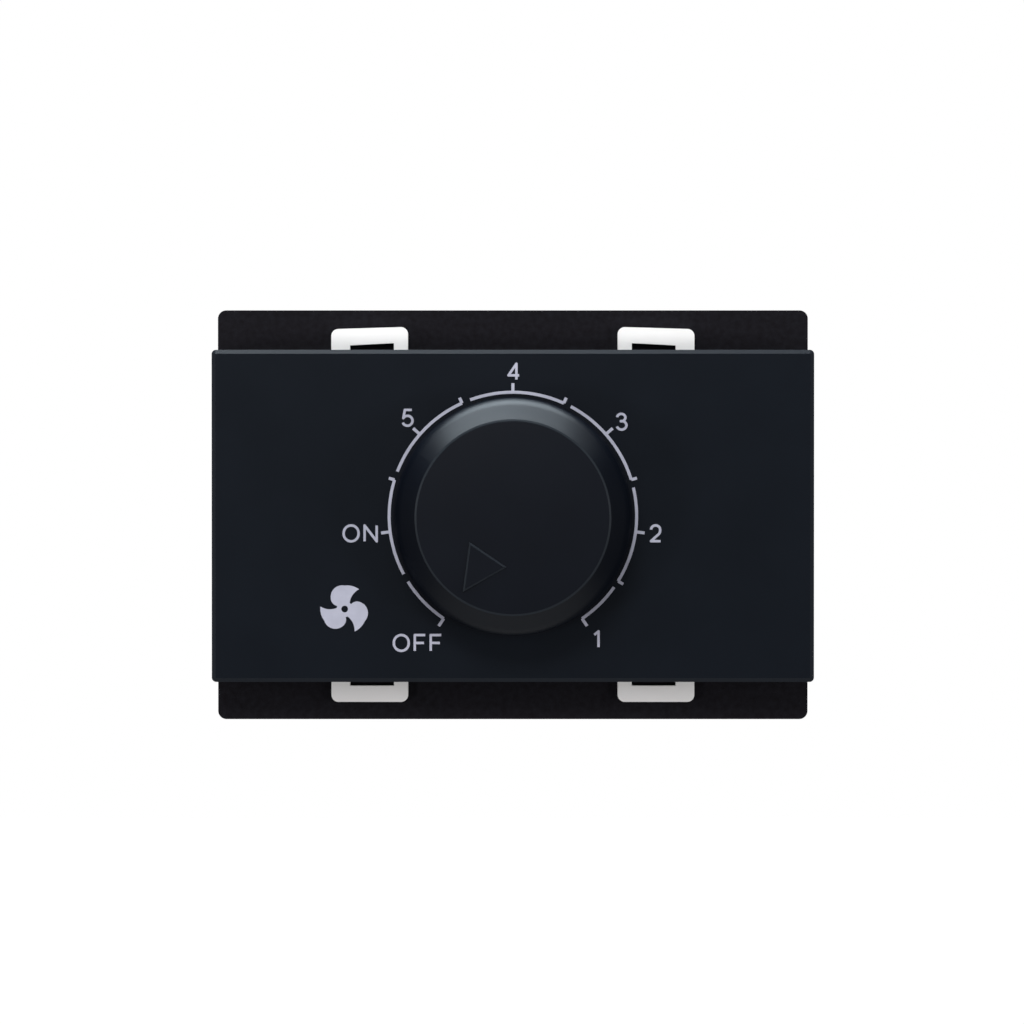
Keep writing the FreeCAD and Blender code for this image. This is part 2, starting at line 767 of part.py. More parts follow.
def knob():
    body = new_body("knob")
    profile = sketch_on(body, "XY_Plane", "0")
    outline(profile, [
        ("0", "knob_base"),
        ("knob_radius", "knob_base"),
        ("knob_radius", "knob_base - knob_lip"),
        ("knob_radius - knob_step", "knob_base - knob_lip"),
        ("knob_shoulder_radius", "knob_shoulder", "-knob_bulge"),
        ("knob_bevel_radius", "knob_bevel"),
        ("knob_face_radius", "knob_front", "-knob_dome / 4"),
        ("knob_dome_flat", "knob_front - knob_dome"),
        ("0", "knob_front - knob_dome"),
    ])
    revolve(body, profile)
    rim = value("knob_face_radius")
    at_front = lies_at("knob_front")

    def is_crease(edge):
        return at_front(edge) and abs(edge.BoundBox.XMax - rim) < SAME

    soften(body, "knob_crease", is_crease, "Chamfer")
    room = sketch_on(body, "XY_Plane", "0")
    outline(room, [
        ("0", "knob_base"),
        ("knob_radius - knob_wall", "knob_base"),
        ("knob_shoulder_radius - knob_wall", "knob_shoulder"),
        ("knob_face_radius - knob_wall", "knob_room"),
        ("knob_hub_radius", "knob_room"),
        ("knob_hub_radius", "hub_rear"),
        ("0", "hub_rear"),
    ])
    revolve(body, room, "Groove")
    rib = sketch_on(body, "XY_Plane", "0")
    outline(rib, [
        ("knob_hub_radius - knob_rib / 2", "hub_rear - knob_rib"),
        ("knob_radius - knob_wall / 2", "hub_rear - knob_rib"),
        ("knob_shoulder_radius - knob_wall / 2", "knob_shoulder"),
        ("knob_face_radius - knob_wall / 2", "knob_room - knob_face / 2"),
        ("knob_hub_radius - knob_rib / 2", "knob_room - knob_face / 2"),
    ])
    first_rib = pad(body, rib, "knob_rib", both_ways=True)
    ring = body.newObject("PartDesign::PolarPattern", "knob_ribs")
    ring.Originals = [first_rib]
    ring.Axis = (profile, ["V_Axis"])
    ring.Angle = 360
    bind(ring, "Occurrences", "knob_ribs")
    body.Tip = ring
    bore = front_sketch(body, "hub_rear")
    d_outline(bore, "shaft_radius + knob_bore_fit", "shaft_flat + knob_bore_fit")
    pocket(body, bore, "hub_rear - shaft_front + knob_bore_end")
    pointer = front_sketch(body, "knob_front")
    outline(pointer, [
        ("-pointer_width / 2", "pointer_base"),
        ("pointer_width / 2", "pointer_base"),
        ("0", "pointer_tip"),
    ])
    pad(body, pointer, "knob_dome + pointer_rise")
    soften(body, "pointer_edge", lies_at("knob_front - knob_dome - pointer_rise"), "Chamfer")
    node(turn_to_off(body), "knob")


# The printed scale, as thin raised ink

def flat_point(pair):
    """A point of a letter, given in letter heights."""
    scale = value("letter_height")
    return FreeCAD.Vector(pair[0] * scale, pair[1] * scale, 0)


def dot(middle, radius):
    return Part.Face(Part.Wire(Part.Circle(middle, FreeCAD.Vector(0, 0, 1), radius).toShape()))


def bar_face(first, last, half):
    aside = (last - first).normalize().cross(FreeCAD.Vector(0, 0, half))
    corners = [first + aside, last + aside, last - aside, first - aside]
    return Part.Face(Part.makePolygon(corners + corners[:1]))


def bow_face(arc, half):
    """A band of this half width along an arc."""
    start, end = arc.FirstParameter, arc.LastParameter
    far = Part.ArcOfCircle(Part.Circle(arc.Center, arc.Axis, arc.Radius + half), start, end)
    near = Part.ArcOfCircle(Part.Circle(arc.Center, arc.Axis, arc.Radius - half), start, end)
    opening = Part.LineSegment(near.StartPoint, far.StartPoint)
    closing = Part.LineSegment(far.EndPoint, near.EndPoint)
    return Part.Face(Part.Wire([opening.toShape(), far.toShape(), closing.toShape(), near.toShape()]))


def stroke_faces(points):
    """The pieces of a stroke along these points. A third entry starts an arc through that point."""
    half = value("letter_stroke / 2")
    faces = [dot(flat_point(point), half) for point in points[1:-1]]
    for start, end in zip(points, points[1:]):
        first, last = flat_point(start), flat_point(end)
        if len(start) > 2:
            circle_side = Part.Arc(first, flat_point(start[2]), last).toShape().Curve
            turn = Part.Circle(circle_side.Center, circle_side.Axis, circle_side.Radius)
            span = (turn.parameter(first), turn.parameter(last))
            end_angle = span[1] if span[1] > span[0] else span[1] + 2 * math.pi
            faces.append(bow_face(Part.ArcOfCircle(turn, span[0], end_angle), half))
        else:
            faces.append(bar_face(first, last, half))
    return faces


# Strokes in letter heights, along their middle lines: (x, y) or (x, y, (point on the arc to the next))
GLYPHS = {
    "1": (0.42, [[(0.10, 0.74), (0.33, 0.93), (0.33, 0.07)]]),
    "2": (0.66, [[(0.08, 0.70, (0.33, 0.93)), (0.58, 0.69, (0.55, 0.53)), (0.42, 0.38), (0.08, 0.07),
                  (0.60, 0.07)]]),
    "3": (0.66, [[(0.08, 0.75, (0.31, 0.93)), (0.53, 0.73, (0.46, 0.58)), (0.28, 0.53, (0.54, 0.44)),
                  (0.59, 0.29, (0.32, 0.07)), (0.07, 0.24)]]),
    "4": (0.68, [[(0.49, 0.07), (0.49, 0.93), (0.06, 0.30), (0.64, 0.30)]]),
    "5": (0.66, [[(0.56, 0.93), (0.18, 0.93), (0.10, 0.48, (0.40, 0.60)), (0.60, 0.33, (0.33, 0.07)),
                  (0.07, 0.24)]]),
    "O": (0.95, [[(0.07, 0.525, (0.475, 0.93)), (0.88, 0.525), (0.88, 0.475, (0.475, 0.07)), (0.07, 0.475),
                  (0.07, 0.525)]]),
    "N": (0.80, [[(0.07, 0.07), (0.07, 0.93), (0.73, 0.07), (0.73, 0.93)]]),
    "F": (0.68, [[(0.07, 0.07), (0.07, 0.93), (0.64, 0.93)], [(0.07, 0.50), (0.57, 0.50)]]),
}
LETTER_GAP = 0.19


def letter_faces(letter):
    """The faces that make up one letter, its low left corner at the origin, and its width."""
    width, strokes = GLYPHS[letter]
    return [face for points in strokes for face in stroke_faces(points)], width * value("letter_height")


def word_solids(word, centre):
    """Raised letters, the word centred on this point of the cover's face."""
    scale = value("letter_height")
    letters = [letter_faces(letter) for letter in word]
    total = sum(width for _, width in letters) + LETTER_GAP * scale * (len(letters) - 1)
    corner = centre - FreeCAD.Vector(total, scale, 0) * 0.5
    solids = []
    for faces, width in letters:
        for face in faces:
            face.translate(corner)
        solids += raised(faces)
        corner.x += width + LETTER_GAP * scale
    return solids


def raised(faces):
    """Flat XY faces, made one, stood on the cover's face as ink."""
    slabs = [face.extrude(FreeCAD.Vector(0, 0, value("print_thickness"))) for face in faces]
    ink = slabs[0].fuse(slabs[1:]).removeSplitter() if slabs[1:] else slabs[0]
    ink.rotate(FreeCAD.Vector(), X_AXIS, 90)
    ink.translate(FreeCAD.Vector(0, value("cover_front"), 0))
    return ink.Solids


def dial_point(radius, clock):
    """The point at this radius and clock angle, in degrees from 12 o'clock."""
    angle = math.radians(clock)
    return FreeCAD.Vector(radius * math.sin(angle), radius * math.cos(angle), 0)


def arc_face(start, end):
    inner = value("dial_radius - dial_line / 2")
    outer = value("dial_radius + dial_line / 2")
    middle = (start + end) / 2
    far = Part.Arc(dial_point(outer, start), dial_point(outer, middle), dial_point(outer, end))
    near = Part.Arc(dial_point(inner, end), dial_point(inner, middle), dial_point(inner, start))
    out = Part.LineSegment(dial_point(inner, start), dial_point(outer, start))
    back = Part.LineSegment(dial_point(outer, end), dial_point(inner, end))
    return Part.Face(Part.Wire([out.toShape(), far.toShape(), back.toShape(), near.toShape()]))


def tick_face(clock, length):
    """A tick that runs outward from the middle of the ring's line."""
    half = value("dial_line / 2")
    inner = value("dial_radius")
    outer = inner + half + length
    corners = [(-half, inner), (half, inner), (half, outer), (-half, outer)]
    wire = Part.makePolygon([FreeCAD.Vector(x, y, 0) for x, y in corners + corners[:1]])
    wire.rotate(FreeCAD.Vector(), FreeCAD.Vector(0, 0, 1), -clock)
    return Part.Face(wire)


# Each stretch of the ring: its mark's place in dial steps, and how far it runs either side, in degrees
ARC_REACH = {-3: (0, 24), -2: (20.7, 24.3), -1: (20.3, 24.4), 0: (20.2, 24.3), 1: (20.8, 24.3),
             2: (20.6, 24.4), 3: (20.9, 0)}
# Each mark's word: its place in dial steps, the degrees it stands off that place, and how far its centre is
# outside the ring's line, in letter heights
MARKS = {"OFF": (-3, 3.0, 1.92), "ON": (-2, 0.84, 1.63), "5": (-1, 1.67, 1.10), "4": (0, 0.3, 1.12),
         "3": (1, 0.43, 1.10), "2": (2, -0.44, 1.09), "1": (3, -0.1, 1.37)}


def scale_solids():
    """The broken ring and its ticks: a long tick at each mark and a short one where each stretch ends."""
    step = value("dial_step")
    faces = []
    for number, (before, after) in ARC_REACH.items():
        clock = number * step
        faces.append(arc_face(clock - before, clock + after))
        faces.append(tick_face(clock, value("tick_length")))
        if before and after:
            faces.append(tick_face(clock + after, value("end_tick_length")))
    return raised(faces)


# One blade of the fan sign: its corners, and a point on the arc to the next one, as (share of the sign's
# radius, clock angle)
BLADE = (((0.28, -64), (0.50, -66)), ((0.72, -52), (0.93, -29)), ((0.96, 0), (0.99, 18)),
         ((1.0, 36), (0.60, 29)), ((0.30, 42), None))
BLADES = 3


def fan_sign():
    """A plain fan with a round hub hole."""
    reach = value("sign_radius")
    centre = FreeCAD.Vector()
    corners = [dial_point(reach * share, clock) for (share, clock), _ in BLADE]
    sides = []
    for number, (_, through) in enumerate(BLADE[:-1]):
        middle = dial_point(reach * through[0], through[1])
        sides.append(Part.Arc(corners[number], middle, corners[number + 1]).toShape())
    sides.append(Part.LineSegment(corners[-1], centre).toShape())
    sides.append(Part.LineSegment(centre, corners[0]).toShape())
    blade = Part.Face(Part.Wire(sides))
    hole = dot(centre, value("sign_hole"))
    parts = [dot(centre, value("sign_hub")).cut(hole)]
    for number in range(BLADES):
        copy = blade.copy()
        copy.rotate(centre, FreeCAD.Vector(0, 0, 1), 360 / BLADES * number)
        parts.append(copy.cut(hole))
    for part in parts:
        part.translate(FreeCAD.Vector(value("sign_across"), value("sign_up"), 0))
    return raised(parts)


def dial_print():
    solids = scale_solids() + fan_sign()
    for word, (number, shift, outside) in MARKS.items():
        radius = value("dial_radius") + outside * value("letter_height")
        solids += word_solids(word, dial_point(radius, number * value("dial_step") + shift))
    ink = doc.addObject("Part::Feature", "dial_ink")
    ink.Shape = Part.makeCompound(solids)
    ink.Placement = FreeCAD.Placement()
    node(ink, "dial_print")


# The potentiometer

def pot_bushing():
    plate = rod("bush_plate", "can_radius", "bush_plate", "0", "flange_front", "0")
    neck = rod("bush_neck", "bush_radius", "bush_length", "0", "bush_front", "0")
    peg = rod("bush_peg", "peg_radius", "peg_length + bush_plate / 2", "0", "flange_front - peg_length",
              "peg_offset")
    bore = rod("bush_bore", "shaft_radius + shaft_fit", "bush_length + bush_plate", "0", "bush_front", "0")
    node(cut("bush", join("bush_blank", plate, neck, peg), bore), "pot_bushing")


def pot_fixing():
    washer = rod("washer_disc", "washer_radius", "washer_thickness", "0", "washer_front", "0")
    washer_hole = rod("washer_hole", "bush_radius + thread_gap", "washer_thickness", "0", "washer_front",
                      "0")
    node(cut("washer", washer, washer_hole), "pot_washer")
    nut = hexagon("nut_hexagon", "nut_flats", "nut_thickness", "0", "nut_front", "0")
    nut_hole = rod("nut_hole", "bush_radius + thread_gap", "nut_thickness", "0", "nut_front", "0")
    node(cut("nut", nut, nut_hole), "pot_nut")


def pot_case():
    can = rod("can_outside", "can_radius", "can_depth", "0", "can_front", "0")
    room = rod("can_room", "can_radius - can_wall", "can_depth - can_wall", "0", "can_front", "0")
    hole = rod("can_hole", "tang_radius + tang_play", "can_depth", "0", "can_front", "0")
    slot = block("can_slot", "-tongue_width / 2 - wafer_fit", "wafer_front - wafer_fit", "-2 * can_radius",
                 "tongue_width + 2 * wafer_fit", "wafer_thickness + wafer_fit", "1.5 * can_radius")
    node(cut("can", can, room, hole, slot), "pot_case")


def pot_wafer():
    disc = rod("wafer_disc", "wafer_radius", "wafer_thickness", "0", "wafer_front", "0")
    tongue = block("wafer_tongue", "-tongue_width / 2", "wafer_front", "-tongue_reach",
                   "tongue_width", "wafer_thickness", "tongue_reach")
    hole = rod("wafer_hole", "tang_radius + tang_play", "wafer_thickness", "0", "wafer_front", "0")
    node(cut("wafer", join("wafer_blank", disc, tongue), hole), "pot_wafer")


def resistance_track():
    body = new_body("track")
    section = sketch_on(body, "XY_Plane", "0")
    rectangle(section, "track_radius - track_width / 2", "track_front", "track_radius + track_width / 2",
              "wafer_front")
    revolve(body, section, span="track_span")
    body.Placement = FreeCAD.Placement(FreeCAD.Vector(), FreeCAD.Rotation(Y_AXIS, 1))
    bind(body, "Placement.Rotation.Angle", "270 - track_span / 2")
    node(body, "resistance_track")


def pot_terminals():
    """Three flat terminals riveted to the wafer's tongue. Gives their legs' holes in the board."""
    lugs = []
    holes = []
    low = "-(tongue_reach + terminal_reach)"
    for number in (-1, 0, 1):
        left = f"{number} * terminal_pitch - terminal_width / 2"
        strip = block("lug_strip", left, "wafer_rear", low, "terminal_width", "terminal_sheet",
                      "terminal_reach + terminal_grip")
        leg = block("lug_leg", left, "wafer_rear", low, "terminal_width", "board_rear - wafer_rear",
                    "terminal_sheet")
        lugs.append(join("lug", strip, leg))
        holes.append(block("lug_hole", f"{left} - lead_fit", "board_front", f"{low} - lead_fit",
                           "terminal_width + 2 * lead_fit", "board_thickness",
                           "terminal_sheet + 2 * lead_fit"))
    node(group("lugs", *lugs), "pot_terminals")
    return holes


def pot_shaft():
    body = new_body("shaft")
    profile = sketch_on(body, "XY_Plane", "0")
    groove = "shaft_radius - clip_groove"
    outline(profile, [
        ("0", "shaft_front"),
        ("shaft_radius - shaft_chamfer", "shaft_front"),
        ("shaft_radius", "shaft_front + shaft_chamfer"),
        ("shaft_radius", "clip_front - press_gap"),
        (groove, "clip_front - press_gap"),
        (groove, "clip_front + clip_thickness + press_gap"),
        ("shaft_radius", "clip_front + clip_thickness + press_gap"),
        ("shaft_radius", "rotor_front"),
        ("tail_radius", "rotor_front"),
        ("tail_radius", "rotor_rear"),
        ("tang_radius", "rotor_rear"),
        ("tang_radius", "cam_rear"),
        ("0", "cam_rear"),
    ])
    revolve(body, profile)
    flat = front_sketch(body, "shaft_front")
    rectangle(flat, "-shaft_radius", "shaft_flat", "shaft_radius", "2 * shaft_radius")
    pocket(body, flat, "shaft_grip", forward=False)
    node(turn_to_off(body), "pot_shaft")


def shaft_clip():
    ring = rod("clip_ring", "clip_radius", "clip_thickness", "0", "clip_front", "0")
    hole = rod("clip_hole", "shaft_radius - clip_groove + press_gap", "clip_thickness", "0", "clip_front",
               "0")
    mouth = block("clip_gap", "-clip_mouth / 2", "clip_front", "-2 * clip_radius", "clip_mouth",
                  "clip_thickness", "2 * clip_radius")
    node(turn_to_off(cut("clip", ring, hole, mouth)), "shaft_clip")


def pot_rotor():
    disc = rod("rotor_disc", "rotor_radius", "rotor_thickness", "0", "rotor_front", "0")
    hole = rod("rotor_hole", "tail_radius + press_gap", "rotor_thickness", "0", "rotor_front", "0")
    node(turn_to_off(cut("rotor", disc, hole)), "pot_rotor")


def wiper_spring():
    body = new_body("wiper")
    section = sketch_on(body, "YZ_Plane", "0")
    outer = "(track_radius + track_width / 2)"
    tip = "track_front - wiper_gap"
    outline(section, [
        ("rotor_rear", "wiper_root"),
        ("rotor_rear", outer),
        (tip, "track_radius"),
        (tip, "track_radius - wiper_foot"),
        ("rotor_rear + wiper_thickness", f"{outer} - wiper_foot"),
        ("rotor_rear + wiper_thickness", "wiper_root"),
    ])
    pad(body, section, "wiper_width", both_ways=True)
    node(turn_to_off(body), "wiper_spring")


# The mains switch behind the potentiometer

def switch_leg_holes(name, front, depth):
    """The holes that the two contacts' legs need, turned as the contacts are."""
    leaf = block(name + "_leaf", "-leaf_half - lead_fit", front, "leaf_up - lead_fit",
                 "lead_size + 2 * lead_fit", depth, "leaf_thickness + 2 * lead_fit")
    bar = block(name + "_bar", "contact_offset - lead_size / 2 - lead_fit", front, "post_bar_up - lead_fit",
                "lead_size + 2 * lead_fit", depth, "contact_bar + 2 * lead_fit")
    return turn_to_off(group(name + "_pair", leaf, bar))


def switch_housing():
    cup = rod("cup_outside", "cup_radius", "cup_depth", "0", "can_rear", "0")
    room = rod("cup_inside", "cup_radius - cup_wall", "cup_depth - cup_front", "0", "cup_room", "0")
    hole = rod("cup_hole", "tang_radius + tang_play", "cup_front", "0", "can_rear", "0")
    node(cut("cup", cup, room, hole), "switch_cup")
    lid = rod("lid_disc", "cup_radius", "cup_lid", "0", "cup_rear", "0")
    node(cut("lid", lid, switch_leg_holes("lid_holes", "cup_rear", "cup_lid")), "switch_cover")


def switch_cam():
    disc = rod("cam_disc", "cam_radius", "cam_thickness", "0", "cam_front", "0")
    lobe = rod("cam_nose", "cam_lobe_radius", "cam_thickness", "0", "cam_front",
               "cam_lobe - cam_lobe_radius")
    neck = block("cam_neck", "-cam_lobe_radius", "cam_front", "0", "2 * cam_lobe_radius", "cam_thickness",
                 "cam_lobe - cam_lobe_radius")
    hole = rod("cam_hole", "tang_radius + press_gap", "cam_thickness", "0", "cam_front", "0")
    node(turn_to_off(cut("cam", join("cam_blank", disc, lobe, neck), hole)), "switch_cam")


def switch_contacts():
    strip = block("leaf_strip", "-leaf_half", "cam_front", "leaf_up", "2 * leaf_half", "leaf_width",
                  "leaf_thickness")
    button = rod("leaf_button", "contact_radius", "contact_height", "contact_offset",
                 "cam_front + leaf_width / 2", "leaf_up - contact_height", UPWARD)
    leg = block("leaf_leg", "-leaf_half", "cam_front", "leaf_up", "lead_size", "board_rear - cam_front",
                "leaf_thickness")
    node(turn_to_off(join("leaf", strip, button, leg)), "contact_leaf")
    bar = block("bar", "contact_offset - lead_size / 2", "cam_front", "post_bar_up", "lead_size",
                "board_rear - cam_front", "contact_bar")
    node(turn_to_off(group("bar_turned", bar)), "contact_post")


# The board and what is soldered to it

def lead(name, across, up, front):
    """A square lead through the board, and the hole that it needs."""
    left = f"({across}) - lead_size / 2"
    low = f"({up}) - lead_size / 2"
    pin = block(name + "_lead", left, front, low, "lead_size", f"lead_end - ({front})", "lead_size")
    hole = block(name + "_hole", f"{left} - lead_fit", "board_front", f"{low} - lead_fit",
                 "lead_size + 2 * lead_fit", "board_thickness", "lead_size + 2 * lead_fit")
    return pin, hole


def box_capacitor(name, across, up, size, pitch):
    """A box film capacitor that stands on the board. Gives the holes of its two leads."""
    case = block(name + "_case", f"{across} - {size}_length / 2", f"board_front - {size}_height",
                 f"{up} - {size}_width / 2", f"{size}_length", f"{size}_height", f"{size}_width")
    pins = [lead(name, f"{across} {side} {pitch} / 2", up, "board_front") for side in "+-"]
    node(join(name + "_whole", case, *[pin for pin, _ in pins]), name)
    return [hole for _, hole in pins]


def axial_part(name, across, up, size):
    """A round part that lies on the board, its leads bent into it. Gives the holes of its two leads."""
    axis = f"board_front - {size}_radius"
    left = f"{across} - {size}_length / 2"
    body = rod(name + "_round", f"{size}_radius", f"{size}_length", left, axis, up, RIGHTWARD)
    pieces = [body]
    holes = []
    reach = f"({size}_length / 2 + lead_reach)"
    front = f"{axis} - lead_size / 2"
    for side in ("+", "-"):
        pin, hole = lead(name, f"{across} {side} {reach}", up, front)
        arm = block(name + "_arm", f"{across} {side} {reach} / 2 - {reach} / 2", front,
                    f"{up} - lead_size / 2", reach, "lead_size", "lead_size")
        pieces += [arm, pin]
        holes.append(hole)
    node(join(name + "_whole", *pieces), name)
    return holes


def triac():
    """A small power triac lying on the heat sink. Gives the holes of its three leads."""
    case = block("triac_case", "triac_across - triac_width / 2", "sink_front - triac_thickness", "triac_low",
                 "triac_width", "triac_thickness", "triac_height")
    hole = rod("triac_hole", "sink_screw_radius + screw_fit", "triac_thickness", "triac_across",
               "sink_front - triac_thickness", "triac_hole_up")
    pieces = [cut("triac_package", case, hole)]
    holes = []
    for number in (-1, 0, 1):
        across = f"triac_across + {number} * triac_pitch"
        arm = block("triac_arm", f"{across} - lead_size / 2", "triac_lead_front",
                    "triac_low - triac_lead_reach - lead_size / 2", "lead_size", "lead_size",
                    "triac_lead_reach + lead_size / 2")
        pin, pin_hole = lead("triac", across, "triac_low - triac_lead_reach", "triac_lead_front")
        pieces += [arm, pin]
        holes.append(pin_hole)
    node(join("triac_whole", *pieces), "triac")
    return holes


def heat_sink():
    """A bent plate under the triac, with its screw and nut. Gives the screw's hole in the board."""
    height = "sink_top - sink_low"
    base = block("sink_base", "sink_left", "sink_front", "sink_low", "sink_width", "sink_thickness", height)
    wall = block("sink_wall", "sink_right - sink_thickness", "board_front - sink_height", "sink_low",
                 "sink_thickness", "sink_height", height)
    hole = rod("sink_hole", "sink_screw_radius + screw_fit", "sink_thickness", "triac_across", "sink_front",
               "triac_hole_up")
    node(cut("sink", join("sink_blank", base, wall), hole), "heat_sink")
    seat = "sink_front - triac_thickness"
    end = "(board_rear + sink_nut_thickness)"
    head_front = f"{seat} - sink_screw_head_height"
    screw = slotted_screw("sink_screw", "sink_screw_head", "sink_screw_head_height", "sink_screw_radius",
                          head_front, seat, end, "triac_across", "triac_hole_up")
    slot = screw_slot("sink_screw", head_front, "sink_screw_head", "triac_across", "triac_hole_up")
    node(cut("sink_screw_slotted", screw, slot), "heat_sink_screw")
    nut = hexagon("sink_hexagon", "sink_nut_flats", "sink_nut_thickness", "triac_across", "board_rear",
                  "triac_hole_up")
    nut_hole = rod("sink_nut_hole", "sink_screw_radius + thread_gap", "sink_nut_thickness", "triac_across",
                   "board_rear", "triac_hole_up")
    node(cut("sink_nut", nut, nut_hole), "heat_sink_nut")
    return [rod("sink_board_hole", "sink_screw_radius + screw_fit", "board_thickness", "triac_across",
                "board_front", "triac_hole_up")]


def screw_slot(name, front, head, across, up):
    """The driver's slot, cut into a head whose outer face is at front."""
    return block(name + "_slot", f"({across}) - {head}", front, f"({up}) - screw_slot / 2", f"2 * {head}",
                 "screw_slot", "screw_slot")


def choke():
    """A ring core with its winding, lying on the board. Gives the holes of the winding's two leads."""
    ring = rod("core_ring", "core_outer", "core_thickness", "choke_across", "core_front", "choke_height")
    hole = rod("core_hole", "core_inner", "core_thickness", "choke_across", "core_front", "choke_height")
    node(cut("core", ring, hole), "choke_core")
    body = new_body("winding")
    section = sketch_on(body, "XY_Plane", "0")
    rectangle(section, "winding_inner", "core_front - winding_wire", "winding_outer", "board_front")
    rectangle(section, "core_inner", "core_front", "core_outer", "core_rear")
    revolve(body, section, span="winding_span")
    stand(body, "choke_across", "0", "choke_height")
    middle = "(core_inner + core_outer) / 2"
    pins = [lead("winding", f"choke_across {side} {middle}", "choke_height", "core_rear") for side in "+-"]
    node(join("winding_whole", body, *[pin for pin, _ in pins]), "choke_winding")
    return [hole for _, hole in pins]


def terminal_block():
    """The terminals behind the board, for wires from below. Gives the cages' holes in the board."""
    case = block("block_case", "-block_width / 2", "board_rear", "block_low", "block_width", "block_depth",
                 "block_height")
    tools = []
    cages = []
    screws = []
    board_holes = []
    for side in ("", "-"):
        across = f"{side}cage_pitch / 2"
        tools.append(block("cage_room", f"{across} - cage_width / 2 - cage_fit", "cage_front", "cage_low",
                           "cage_width + 2 * cage_fit", "cage_depth", "block_height"))
        tools.append(rod("block_wire_hole", "wire_radius", "2 * block_wall", across, "wire_axis",
                         "block_low", UPWARD))
        tools.append(rod("block_driver_hole", "clamp_screw_head + screw_fit", "block_depth", across,
                         "cage_rear", "cage_leg_up"))
        leg, hole = cage_leg(across)
        tools.append(hole)
        board_holes.append(hole)
        cages.append(cage(across, leg))
        screws.append(clamp_screw(across))
    node(cut("block", case, *tools), "terminal_block")
    node(group("cages", *cages), "terminal_cages")
    node(group("clamp_screws", *screws), "terminal_screws")
    return board_holes


def cage_leg(across):
    """A cage's solder leg, which runs forward through the block's floor and the board, and its hole."""
    left = f"{across} - lead_size / 2"
    low = "cage_leg_up - lead_size / 2"
    leg = block("cage_pin", left, "board_front - lead_tail", low, "lead_size",
                "cage_front - board_front + lead_tail + cage_wall / 2", "lead_size")
    hole = block("cage_pin_hole", f"{left} - lead_fit", "board_front", f"{low} - lead_fit",
                 "lead_size + 2 * lead_fit", "cage_front - board_front", "lead_size + 2 * lead_fit")
    return leg, hole


def cage(across, leg):
    """A brass cage with the wire's hole along Z and the screw's hole along Y."""
    case = block("cage_case", f"{across} - cage_width / 2", "cage_front", "cage_low", "cage_width",
                 "cage_depth", "cage_length")
    wire = rod("cage_wire_hole", "wire_radius", "cage_length", across, "wire_axis", "cage_low", UPWARD)
    thread = rod("cage_thread", "clamp_screw_radius + thread_gap", "cage_rear - wire_axis", across,
                 "wire_axis", "cage_leg_up")
    return cut("cage", join("cage_blank", case, leg), wire, thread)


def clamp_screw(across):
    """A terminal screw, backed out so that the wire's way is free, its slot at the back."""
    rear = "clamp_head_front + clamp_screw_head_height"
    screw = slotted_screw("clamp_screw", "clamp_screw_head", "clamp_screw_head_height", "clamp_screw_radius",
                          "clamp_head_front", "clamp_screw_front", rear, across, "cage_leg_up")
    slot = screw_slot("clamp_screw", f"{rear} - screw_slot", "clamp_screw_head", across, "cage_leg_up")
    return cut("clamp_screw_slotted", screw, slot)


def circuit_board(holes):
    """The board, notched round the housing's posts, with a hole for each lead and each screw."""
    panel = block("board_panel", "-board_half_width", "board_front", "-board_half_height",
                  "2 * board_half_width", "board_thickness", "2 * board_half_height")
    tools = list(holes)
    notch = "(post_radius + board_notch)"
    for side, sign in CORNERS:
        left = f"post_across - {notch}" if not side else "-2 * post_across"
        low = f"post_up - {notch}" if not sign else "-2 * post_up"
        tools.append(block("board_corner", left, "board_front", low, f"post_across + {notch}",
                           "board_thickness", f"post_up + {notch}"))
    tools.append(switch_leg_holes("board_switch_holes", "board_front", "board_thickness"))
    for across, up in BOARD_SCREWS:
        tools.append(rod("board_screw_hole", "board_screw_radius + screw_fit", "board_thickness", across,
                         "board_front", up))
    node(cut("board", panel, *tools), "circuit_board")


def board_screws():
    screws = []
    head_front = "board_front - board_screw_head_height"
    for across, up in BOARD_SCREWS:
        screw = slotted_screw("board_screw", "board_screw_head", "board_screw_head_height",
                              "board_screw_radius", head_front, "board_front",
                              "board_front + board_screw_length", across, up)
        slot = screw_slot("board_screw", head_front, "board_screw_head", across, up)
        screws.append(cut("board_screw_slotted", screw, slot))
    node(group("board_screw_pair", *screws), "board_screws")


def housing_screws():
    """Four long screws from the back of the housing into the cover's bosses."""
    screws = []
    for side, sign in CORNERS:
        across = f"{side}post_across"
        up = f"{sign}post_up"
        screw = slotted_screw("housing_screw", "screw_head_radius", "screw_head_height", "screw_radius",
                              "counterbore_front", "carrier_front - screw_grip",
                              "counterbore_front + screw_head_height / 2", across, up)
        slot = screw_slot("housing_screw", "counterbore_front + screw_head_height - screw_slot",
                          "screw_head_radius", across, up)
        screws.append(cut("housing_screw_slotted", screw, slot))
    node(group("housing_screw_set", *screws), "housing_screws")


# Building, checking and writing

